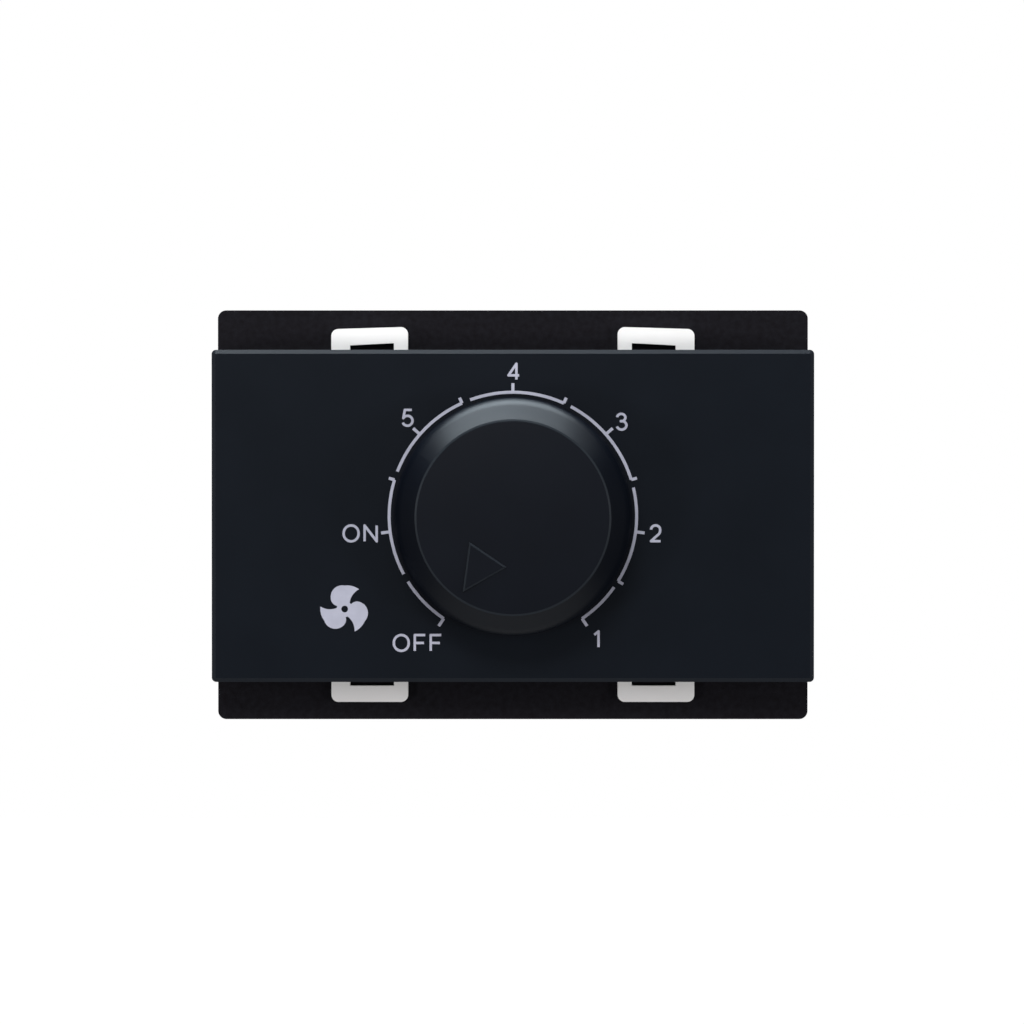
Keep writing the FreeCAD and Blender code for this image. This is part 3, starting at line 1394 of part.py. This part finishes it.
def build():
    fill_sheets()
    front_cover()
    dial_print()
    carrier_frame()
    rear_housing()
    knob()
    housing_screws()
    pot_bushing()
    pot_fixing()
    pot_case()
    pot_wafer()
    resistance_track()
    pot_shaft()
    shaft_clip()
    pot_rotor()
    wiper_spring()
    switch_housing()
    switch_cam()
    switch_contacts()
    holes = pot_terminals()
    holes += triac()
    holes += heat_sink()
    holes += choke()
    holes += box_capacitor("suppression_capacitor", "x_cap_across", "-x_cap_low", "x_cap", "x_cap_pitch")
    holes += box_capacitor("timing_capacitor", "-timing_across", "fuse_up", "small_cap",
                           "small_cap_pitch")
    holes += box_capacitor("snubber_capacitor", "-resistor_offset", "edge_up", "small_cap",
                           "small_cap_pitch")
    holes += axial_part("timing_resistor", "-resistor_offset", "resistor_up", "resistor")
    holes += axial_part("snubber_resistor", "resistor_offset", "resistor_up", "resistor")
    holes += axial_part("diac", "resistor_offset", "edge_up", "diac")
    holes += axial_part("fuse", "fuse_across", "fuse_up", "fuse")
    holes += terminal_block()
    circuit_board(holes)
    board_screws()
    doc.recompute()


def check():
    """Stops on a failed object, an empty or broken shape, or a pad or pocket that did nothing."""
    for thing in doc.Objects:
        if {"Invalid", "Error"} & set(thing.State):
            raise RuntimeError(f"{thing.Name} failed: {thing.State}")
        base = getattr(thing, "BaseFeature", None)
        if base is None or not thing.isDerivedFrom("PartDesign::Feature"):
            continue
        change = thing.Shape.Volume - base.Shape.Volume
        removes = thing.TypeId in ("PartDesign::Pocket", "PartDesign::Groove")
        if thing.TypeId in ("PartDesign::Pad", "PartDesign::Pocket", "PartDesign::Groove"):
            if (change < 0) != removes or abs(change) < SAME:
                raise RuntimeError(f"{thing.Name} changed the volume by {change}")
    for thing in nodes:
        if thing.Shape.isNull() or not thing.Shape.isValid() or not thing.Shape.Solids:
            raise RuntimeError(f"{thing.Label} has no valid shape")


def write():
    os.makedirs("parts", exist_ok=True)
    for thing in nodes:
        thing.Shape.exportStep(f"parts/{thing.Label}.step")
        print(thing.Label, len(thing.Shape.Solids), round(thing.Shape.Volume, 3))


build()
check()
write()
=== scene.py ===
import bpy
import json
import math
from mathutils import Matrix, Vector


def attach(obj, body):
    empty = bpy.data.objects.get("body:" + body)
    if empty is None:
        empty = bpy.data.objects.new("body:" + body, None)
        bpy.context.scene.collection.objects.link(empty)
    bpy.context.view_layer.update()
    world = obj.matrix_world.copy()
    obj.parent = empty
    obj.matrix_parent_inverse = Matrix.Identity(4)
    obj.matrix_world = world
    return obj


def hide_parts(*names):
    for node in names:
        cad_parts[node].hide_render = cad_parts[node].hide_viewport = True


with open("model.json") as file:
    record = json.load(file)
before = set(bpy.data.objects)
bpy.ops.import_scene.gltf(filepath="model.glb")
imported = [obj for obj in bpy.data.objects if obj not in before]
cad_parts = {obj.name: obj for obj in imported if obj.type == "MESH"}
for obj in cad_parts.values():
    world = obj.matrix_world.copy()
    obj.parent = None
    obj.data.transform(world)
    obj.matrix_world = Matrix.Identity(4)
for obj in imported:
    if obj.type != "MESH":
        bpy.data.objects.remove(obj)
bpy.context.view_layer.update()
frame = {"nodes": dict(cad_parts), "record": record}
nodes = frame["nodes"]
MM = 0.001

# Camera: a long lens, a little above the knob's axis, that gives the photograph's framing
LENS = 187.0
SENSOR_WIDTH = 36.0
VIEW_TARGET = (-0.1 * MM, -11 * MM, 0.45 * MM)
VIEW_DISTANCE = 600 * MM
VIEW_RISE = math.radians(0.8)
CLIP_NEAR = 0.05
CLIP_FAR = 10.0

# Surroundings: what the camera and reflections see is white, and all else gets a mild fill
WHITE = (1, 1, 1, 1)
SEEN_RAYS = ("Is Camera Ray", "Is Glossy Ray", "Is Transmission Ray")
FILL_COLOUR = (0.9, 0.95, 1.0, 1)
FILL_STRENGTH = 0.2
FLOOR_LEVEL = -250 * MM
FLOOR_HALF_WIDTH = 3.0
FLOOR_GREYS = (0.13, 0.16)
FLOOR_GRAIN = 60

# Colours of the lamps: cool behind and above, near white in front
COOL = (0.80, 0.92, 1.0)
OVERHEAD = (0.86, 0.95, 1.0)
PALE = (0.96, 0.98, 1.0)
SIDE = (1.0, 0.97, 1.0)
LOW = (1.0, 0.98, 1.0)

# Points that the lamps are turned to
CENTRE = (0, 0, 0)
KNOB_TOP = (0, -0.015, 0.01)

# Name, place, aim, width, height, power, colour and spread in degrees of each lamp
LAMPS = (
    ("back", (-0.04, 0.33, 0.36), KNOB_TOP, 0.56, 0.16, 2.3, COOL, 90),
    ("back_wide", (-0.02, 0.33, 0.33), KNOB_TOP, 1.0, 0.22, 3.3, COOL, 180),
    ("over", (-0.03, -0.045, 0.36), CENTRE, 0.24, 0.08, 1.85, OVERHEAD, 180),
    ("top", (-0.05, -0.40, 0.17), CENTRE, 0.12, 0.08, 0.80, PALE, 180),
    ("left", (-0.42, -0.26, 0.06), CENTRE, 0.2, 0.1, 0.50, SIDE, 180),
    ("right", (0.42, -0.30, 0.03), CENTRE, 0.2, 0.1, 0.45, SIDE, 180),
    ("low_left", (-0.40, -0.58, -0.10), CENTRE, 0.1, 0.1, 1.06, LOW, 180),
    ("low_right", (0.42, -0.58, -0.08), CENTRE, 0.1, 0.1, 0.97, LOW, 180),
)

# Detail of the noise of the colour and of the gloss, and the shares of it that reach their two ends
PATCH_DETAIL = 3
GRAIN_DETAIL = 2
NOISE_ENDS = (0.3, 0.7)

# Slot: low colour, high colour, and what differs from a plain satin plastic; the colour given for the bevels
# is a lighter one painted there as a highlight
FINISHES = {
    "cover_black": ((0.0024, 0.0038, 0.0064), (0.0032, 0.0048, 0.0078),
                    dict(rough=0.5, grain=6000, bump=0.10, depth=0.01, specular=0.0, coat=0.11,
                         painted_highlight=(0.010, 0.012, 0.016))),
    "housing_black": ((0.0062, 0.0055, 0.0068), (0.0096, 0.0092, 0.0114),
                      dict(patch=1500, rough=0.62, spread=0.1, grain=2600, bump=0.6, depth=0.05,
                           specular=0.0, coat=0.04, coat_rough=0.45)),
    "knob_black": ((0.0020, 0.0028, 0.0050), (0.0026, 0.0036, 0.0062),
                   dict(rough=0.5, grain=5000, bump=0.06, depth=0.01, specular=0.0, coat=0.115,
                        coat_rough=0.40, painted_highlight=(0.014, 0.017, 0.021))),
    "print_grey": ((0.385, 0.385, 0.455), (0.435, 0.435, 0.51),
                   dict(patch=700, rough=0.6, grain=4000, specular=0.1)),
    "frame_white": ((0.78, 0.765, 0.74), (0.83, 0.815, 0.79), dict(rough=0.45, grain=2500)),
    "zinc_steel": ((0.50, 0.50, 0.50), (0.64, 0.64, 0.62), dict(patch=800, rough=0.32, metallic=1.0)),
    "tin_sheet": ((0.55, 0.55, 0.55), (0.68, 0.68, 0.68), dict(patch=500, rough=0.38, metallic=1.0)),
    "spring_steel": ((0.22, 0.22, 0.23), (0.34, 0.34, 0.36), dict(patch=900, rough=0.35, metallic=1.0)),
    "shaft_plastic": ((0.55, 0.55, 0.50), (0.64, 0.64, 0.59), dict(rough=0.5)),
    "brass": ((0.55, 0.38, 0.14), (0.70, 0.52, 0.22), dict(patch=600, rough=0.30, metallic=1.0)),
    "die_cast": ((0.42, 0.42, 0.43), (0.56, 0.56, 0.57),
                 dict(patch=700, rough=0.45, metallic=1.0, bump=0.3)),
    "sink_aluminium": ((0.60, 0.60, 0.61), (0.72, 0.72, 0.73), dict(patch=300, rough=0.36, metallic=1.0)),
    "phenolic": ((0.10, 0.045, 0.018), (0.16, 0.08, 0.035), dict(patch=1500, rough=0.55)),
    "carbon_track": ((0.008, 0.008, 0.008), (0.014, 0.014, 0.014), dict(patch=2500, rough=0.5)),
    "switch_black": ((0.010, 0.010, 0.010), (0.018, 0.018, 0.018), dict(rough=0.45)),
    "cam_white": ((0.66, 0.66, 0.62), (0.74, 0.74, 0.70), dict(rough=0.4)),
    "board_laminate": ((0.26, 0.15, 0.045), (0.36, 0.22, 0.08), dict(patch=900, rough=0.5, bump=0.2)),
    "epoxy_black": ((0.010, 0.010, 0.011), (0.016, 0.016, 0.017), dict(rough=0.5, grain=3500, bump=0.25)),
    "ferrite": ((0.42, 0.36, 0.04), (0.52, 0.45, 0.07), dict(rough=0.5, patch=700)),
    "copper_wire": ((0.42, 0.13, 0.03), (0.58, 0.22, 0.07), dict(rough=0.28, metallic=0.8, coat=0.4)),
    "cap_yellow": ((0.62, 0.36, 0.02), (0.70, 0.43, 0.04), dict(rough=0.35)),
    "cap_red": ((0.34, 0.04, 0.015), (0.42, 0.06, 0.025), dict(rough=0.35)),
    "resistor_tan": ((0.42, 0.26, 0.11), (0.50, 0.33, 0.15), dict(rough=0.45)),
    "diac_blue": ((0.015, 0.07, 0.26), (0.03, 0.11, 0.34), dict(rough=0.25, coat=0.3)),
    "fuse_ceramic": ((0.60, 0.58, 0.52), (0.70, 0.68, 0.62), dict(rough=0.55)),
    "terminal_green": ((0.015, 0.14, 0.05), (0.03, 0.19, 0.075), dict(rough=0.45)),
}

# How far a face is turned to the front or back, from 0 to 1, and the strength of the painted highlight
# there:
# none on the front, the back and the sides, full on the bevels between them
BEVEL_TILTS = ((0.55, 0), (0.66, 1), (0.94, 1), (0.985, 0))

# Start of each resistor ring as a share of the length over the leads, and its colour
RINGS = (
    (0.22, (0.30, 0.10, 0.02)),
    (0.35, (0.01, 0.01, 0.01)),
    (0.48, (0.45, 0.16, 0.01)),
    (0.70, (0.45, 0.30, 0.08)),
)
RING_WIDTH = 0.06
CLEAR = (0, 0, 0, 0)

# The choke: turns of its wire, the degrees that they cover, and the wire's sides
CHOKE_TURNS = 16
CHOKE_SPAN = 320
WIRE_SIDES = 8


def link(thing):
    bpy.context.scene.collection.objects.link(thing)
    return thing


def turn_to(thing, aim):
    """Turns a camera or lamp to a point."""
    thing.rotation_euler = (Vector(aim) - thing.location).to_track_quat("-Z", "Y").to_euler()


def add_camera():
    data = bpy.data.cameras.new("camera")
    data.lens = LENS
    data.sensor_width = SENSOR_WIDTH
    data.clip_start = CLIP_NEAR
    data.clip_end = CLIP_FAR
    camera = link(bpy.data.objects.new("camera", data))
    back = Vector((0, -math.cos(VIEW_RISE), math.sin(VIEW_RISE)))
    camera.location = Vector(VIEW_TARGET) + VIEW_DISTANCE * back
    turn_to(camera, VIEW_TARGET)
    bpy.context.scene.camera = camera


def add_lamp(name, place, aim, width, height, power, colour, spread):
    data = bpy.data.lights.new(name, "AREA")
    data.shape = "RECTANGLE"
    data.size = width
    data.size_y = height
    data.energy = power
    data.color = colour
    data.spread = math.radians(spread)
    lamp = link(bpy.data.objects.new(name, data))
    lamp.location = place
    turn_to(lamp, aim)


def seen_directly(tree):
    """One where the camera, a reflection or a view through glass meets the surface."""
    path = tree.nodes.new("ShaderNodeLightPath")
    total = path.outputs[SEEN_RAYS[0]]
    for kind in SEEN_RAYS[1:]:
        either = tree.nodes.new("ShaderNodeMath")
        either.operation = "MAXIMUM"
        tree.links.new(total, either.inputs[0])
        tree.links.new(path.outputs[kind], either.inputs[1])
        total = either.outputs[0]
    return total


def add_world():
    """White to the camera and in reflections, and a mild fill otherwise."""
    world = bpy.data.worlds.new("studio")
    bpy.context.scene.world = world
    world.use_nodes = True
    tree = world.node_tree
    tree.nodes.clear()
    fill = tree.nodes.new("ShaderNodeBackground")
    fill.inputs["Color"].default_value = FILL_COLOUR
    fill.inputs["Strength"].default_value = FILL_STRENGTH
    white = tree.nodes.new("ShaderNodeBackground")
    white.inputs["Color"].default_value = WHITE
    mix = tree.nodes.new("ShaderNodeMixShader")
    out = tree.nodes.new("ShaderNodeOutputWorld")
    tree.links.new(seen_directly(tree), mix.inputs[0])
    tree.links.new(fill.outputs[0], mix.inputs[1])
    tree.links.new(white.outputs[0], mix.inputs[2])
    tree.links.new(mix.outputs[0], out.inputs[0])


def add_floor():
    """A plain floor well below the part, white to the camera and in reflections."""
    mesh = bpy.data.meshes.new("floor")
    half = FLOOR_HALF_WIDTH
    corners = [(x, y, FLOOR_LEVEL) for x, y in ((-half, -half), (half, -half), (half, half), (-half, half))]
    mesh.from_pydata(corners, [], [(0, 1, 2, 3)])
    floor = link(bpy.data.objects.new("floor", mesh))
    material = bpy.data.materials.new("floor")
    material.use_nodes = True
    tree = material.node_tree
    tree.nodes.clear()
    grain = tree.nodes.new("ShaderNodeTexNoise")
    grain.inputs["Scale"].default_value = FLOOR_GRAIN
    tint = tree.nodes.new("ShaderNodeMix")
    tint.data_type = "RGBA"
    for socket, grey in zip("AB", FLOOR_GREYS):
        tint.inputs[socket].default_value = (grey, grey, grey, 1)
    tree.links.new(grain.outputs[0], tint.inputs["Factor"])
    matt = tree.nodes.new("ShaderNodeBsdfDiffuse")
    tree.links.new(tint.outputs["Result"], matt.inputs["Color"])
    glow = tree.nodes.new("ShaderNodeEmission")
    glow.inputs["Color"].default_value = WHITE
    tree.links.new(seen_directly(tree), glow.inputs["Strength"])
    both = tree.nodes.new("ShaderNodeAddShader")
    out = tree.nodes.new("ShaderNodeOutputMaterial")
    tree.links.new(matt.outputs[0], both.inputs[0])
    tree.links.new(glow.outputs[0], both.inputs[1])
    tree.links.new(both.outputs[0], out.inputs[0])
    mesh.materials.append(material)


def size_of_axis(tree, vector, axis):
    """The size of a vector's part along one axis, without its sign."""
    split = tree.nodes.new("ShaderNodeSeparateXYZ")
    tree.links.new(vector, split.inputs[0])
    size = tree.nodes.new("ShaderNodeMath")
    size.operation = "ABSOLUTE"
    tree.links.new(split.outputs[axis], size.inputs[0])
    return size.outputs[0]


def mix_colours(tree, factor, first):
    """A node that goes from the first colour to its input B as the factor rises."""
    mix = tree.nodes.new("ShaderNodeMix")
    mix.data_type = "RGBA"
    tree.links.new(factor, mix.inputs["Factor"])
    tree.links.new(first, mix.inputs["A"])
    return mix


def painted_edge_highlight(tree, place, plain, painted_highlight):
    """The plain colour, with a lighter colour painted as a highlight on bevels between the front and the
    sides.
    """
    mask = tree.nodes.new("ShaderNodeValToRGB")
    tilts = mask.color_ramp.elements
    tilts[-1].color = (0, 0, 0, 1)
    for position, level in BEVEL_TILTS:
        tilts.new(position).color = (level, level, level, 1)
    tree.links.new(size_of_axis(tree, place.outputs["Normal"], "Y"), mask.inputs[0])
    mix = mix_colours(tree, mask.outputs["Color"], plain)
    mix.inputs["B"].default_value = (*painted_highlight, 1)
    return mix.outputs["Result"]


def add_noise(tree, place, scale, detail):
    noise = tree.nodes.new("ShaderNodeTexNoise")
    noise.inputs["Scale"].default_value = scale
    noise.inputs["Detail"].default_value = detail
    tree.links.new(place.outputs["Object"], noise.inputs["Vector"])
    return noise.outputs[0]


def make_material(name, low, high, patch=120, rough=0.5, spread=0.06, grain=3000, bump=0.1, depth=0.02,
                  metallic=0.0, specular=0.5, coat=0.0, coat_rough=0.35, painted_highlight=None):
    """A surface whose colour varies in soft patches between low and high, with a fine grain in its gloss.

    patch and grain are the noises' scales, spread is how far the roughness strays, depth is in millimetres.
    """
    material = bpy.data.materials.new(name)
    material.use_nodes = True
    tree = material.node_tree
    shader = tree.nodes["Principled BSDF"]
    place = tree.nodes.new("ShaderNodeTexCoord")
    ramp = tree.nodes.new("ShaderNodeValToRGB")
    for stop, position, colour in zip(ramp.color_ramp.elements, NOISE_ENDS, (low, high)):
        stop.position = position
        stop.color = (*colour, 1)
    tree.links.new(add_noise(tree, place, patch, PATCH_DETAIL), ramp.inputs[0])
    # Where a bevel colour is given, a lighter colour is painted on the bevels as a highlight
    colour = painted_edge_highlight(tree, place, ramp.outputs[0], painted_highlight) if painted_highlight else ramp.outputs[0]
    tree.links.new(colour, shader.inputs["Base Color"])
    fine = add_noise(tree, place, grain, GRAIN_DETAIL)
    gloss = tree.nodes.new("ShaderNodeMapRange")
    gloss.inputs["From Min"].default_value = NOISE_ENDS[0]
    gloss.inputs["From Max"].default_value = NOISE_ENDS[1]
    gloss.inputs["To Min"].default_value = rough - spread
    gloss.inputs["To Max"].default_value = rough + spread
    tree.links.new(fine, gloss.inputs["Value"])
    tree.links.new(gloss.outputs[0], shader.inputs["Roughness"])
    relief = tree.nodes.new("ShaderNodeBump")
    relief.inputs["Strength"].default_value = bump
    relief.inputs["Distance"].default_value = depth * MM
    tree.links.new(fine, relief.inputs["Height"])
    tree.links.new(relief.outputs[0], shader.inputs["Normal"])
    shader.inputs["Metallic"].default_value = metallic
    shader.inputs["Specular IOR Level"].default_value = specular
    shader.inputs["Coat Weight"].default_value = coat
    shader.inputs["Coat Roughness"].default_value = coat_rough
    return material


def dress_nodes():
    """Gives each CAD node the material of its slot."""
    materials = {slot: make_material(slot, low, high, **rest)
                 for slot, (low, high, rest) in FINISHES.items()}
    slot_of = {entry["node"]: entry["material_slot"] for entry in frame["record"]["subparts"]}
    for name, thing in nodes.items():
        material = materials[slot_of[name]]
        if not thing.material_slots:
            thing.data.materials.append(material)
        for slot in thing.material_slots:
            slot.material = material
    return materials


def box_of(thing):
    """The two far corners of an object's own box, in the frame's coordinates."""
    points = [thing.matrix_world @ Vector(corner) for corner in thing.bound_box]
    return (Vector(min(point[axis] for point in points) for axis in range(3)),
            Vector(max(point[axis] for point in points) for axis in range(3)))


def add_rings(material):
    """Coloured rings round both resistors, which lie along X at one distance on either side of the shaft."""
    tree = material.node_tree
    shader = tree.nodes["Principled BSDF"]
    plain = shader.inputs["Base Color"].links[0].from_socket
    low, high = box_of(nodes["snubber_resistor"])
    place = tree.nodes.new("ShaderNodeTexCoord")
    along = tree.nodes.new("ShaderNodeMapRange")
    along.inputs["From Min"].default_value = low.x
    along.inputs["From Max"].default_value = high.x
    tree.links.new(size_of_axis(tree, place.outputs["Object"], "X"), along.inputs["Value"])
    ramp = tree.nodes.new("ShaderNodeValToRGB")
    ramp.color_ramp.interpolation = "CONSTANT"
    stops = ramp.color_ramp.elements
    for stop in stops:
        stop.color = CLEAR
    for start, colour in RINGS:
        stops.new(start).color = (*colour, 1)
        stops.new(start + RING_WIDTH).color = CLEAR
    tree.links.new(along.outputs[0], ramp.inputs[0])
    mix = mix_colours(tree, ramp.outputs["Alpha"], plain)
    tree.links.new(ramp.outputs["Color"], mix.inputs["B"])
    tree.links.new(mix.outputs["Result"], shader.inputs["Base Color"])


def tube(path, radius):
    """The points and faces of a round wire along a path, with flat ends."""
    points = []
    faces = []
    aside = None
    for number, middle in enumerate(path):
        before = path[max(number - 1, 0)]
        after = path[min(number + 1, len(path) - 1)]
        along = (after - before).normalized()
        if aside is None:
            aside = along.orthogonal()
        aside = (aside - along * aside.dot(along)).normalized()
        up = along.cross(aside)
        for side in range(WIRE_SIDES):
            angle = 2 * math.pi * side / WIRE_SIDES
            points.append(middle + (aside * math.cos(angle) + up * math.sin(angle)) * radius)
        if number:
            first = (number - 1) * WIRE_SIDES
            second = number * WIRE_SIDES
            for side in range(WIRE_SIDES):
                other = (side + 1) % WIRE_SIDES
                faces.append((first + side, first + other, second + other, second + side))
    last = (len(path) - 1) * WIRE_SIDES
    faces.append(tuple(reversed(range(WIRE_SIDES))))
    faces.append(tuple(range(last, last + WIRE_SIDES)))
    return points, faces


def wind_choke(material):
    """One wire round the ring core, turn beside turn, and its two straight leads through the board."""
    low, high = box_of(nodes["choke_core"])
    outer_low, outer_high = box_of(nodes["choke_winding"])
    middle = (low + high) / 2
    wire = (low.y - outer_low.y) / 2
    ring = (high.x - low.x) / 2
    hole = ring / 2
    section = [(ring + wire, high.y), (ring + wire, low.y), (ring, low.y - wire), (hole, low.y - wire),
               (hole - wire, low.y), (hole - wire, high.y), (hole, high.y + wire), (ring, high.y + wire)]
    path = []
    steps = CHOKE_TURNS * len(section)
    for step in range(steps + 1):
        radius, depth = section[step % len(section)]
        angle = math.radians(CHOKE_SPAN) * step / steps
        across = middle.x + radius * math.cos(angle)
        path.append(Vector((across, depth, middle.z - radius * math.sin(angle))))
    points, faces = tube(path, wire)
    for side in (-1, 1):
        across = middle.x + side * (ring + hole) / 2
        lead = [Vector((across, high.y + wire * share, middle.z)) for share in range(3)]
        lead.append(Vector((across, outer_high.y, middle.z)))
        more, sides = tube(lead, wire)
        faces += [tuple(index + len(points) for index in face) for face in sides]
        points += more
    mesh = bpy.data.meshes.new("choke_wire")
    mesh.from_pydata(points, [], faces)
    mesh.shade_smooth()
    mesh.materials.append(material)
    coil = link(bpy.data.objects.new("choke_wire", mesh))
    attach(coil, "switch_body")
    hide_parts("choke_winding")


add_camera()
add_world()
add_floor()
for lamp in LAMPS:
    add_lamp(*lamp)
materials = dress_nodes()
add_rings(materials["resistor_tan"])
wind_choke(materials["copper_wire"])
bpy.context.scene.view_settings.view_transform = "Standard"
